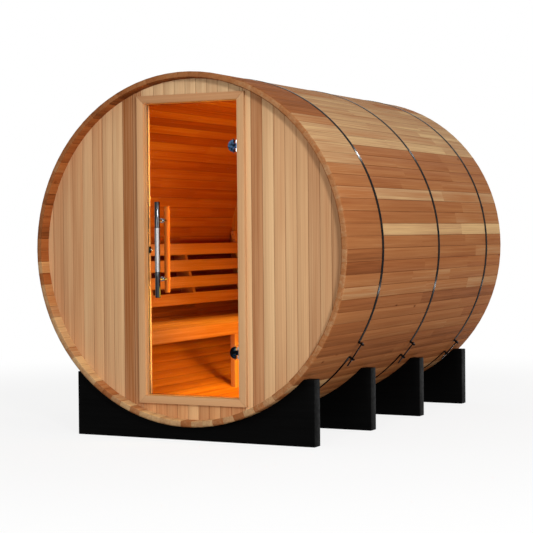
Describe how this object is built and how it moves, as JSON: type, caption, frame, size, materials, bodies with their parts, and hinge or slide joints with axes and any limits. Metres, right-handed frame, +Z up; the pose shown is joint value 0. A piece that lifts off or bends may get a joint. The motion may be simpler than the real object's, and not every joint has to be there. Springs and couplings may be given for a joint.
{
  "type": "barrel sauna",
  "caption": "Wooden barrel sauna cabin lying on cradle boards, bound by steel hoops, with a hinged glass door in a recessed front wall and a bench inside.",
  "frame": {"origin": "on the ground, under the middle of the barrel", "axes": "+Y along the barrel from the door to the back, +X to the right of someone facing the door, +Z up"},
  "size_m": [1.8351, 2.375, 1.9085],
  "materials": {
    "staves": "satin",
    "end_wall": "satin",
    "trim": "satin",
    "bench": "satin",
    "grip": "satin",
    "cradle": "black stain",
    "hoop": "bright",
    "hardware": "polished",
    "bar": "satin and polished",
    "glass": "clear"
  },
  "bodies": {
    "cabin": {"staves_upper_right": "staves", "staves_top": "staves", "staves_upper_left": "staves", "staves_lower_left": "staves", "staves_bottom": "staves", "staves_lower_right": "staves", "hoop_front": "hoop", "hoop_middle": "hoop", "hoop_back": "hoop", "hoop_bolt_front": "hoop", "hoop_bolt_middle": "hoop", "hoop_bolt_back": "hoop", "cradle_front": "cradle", "cradle_second": "cradle", "cradle_third": "cradle", "cradle_back": "cradle", "wall_left": "end_wall", "wall_right": "end_wall", "wall_over_door": "end_wall", "wall_under_door": "end_wall", "wall_back": "end_wall", "jamb_left": "trim", "jamb_right": "trim", "door_head": "trim", "door_sill": "trim", "casing_left": "trim", "casing_right": "trim", "casing_top": "trim", "casing_bottom": "trim", "bench_seat": "bench", "bench_apron": "bench", "bench_leg": "bench", "bench_bearers": "bench", "backrest_slats": "bench", "backrest_uprights": "bench", "backrest_blocks": "bench", "hinge_leaf_upper": "hardware", "hinge_leaf_lower": "hardware", "roller_catch": "hardware"},
    "door": {"door_glass": "glass", "hinge_clamp_upper": "hardware", "hinge_clamp_lower": "hardware", "handle_bar": "bar", "handle_inner_posts": "hardware", "handle_inner_grip": "grip"}
  },
  "joints": [
    {"name": "door_hinge", "type": "hinge", "parent": "cabin", "child": "door", "pos_m": [0.268, -1.1065, 0.991], "axis": [0, 0, 1], "range_deg": [0, 90]}
  ]
}
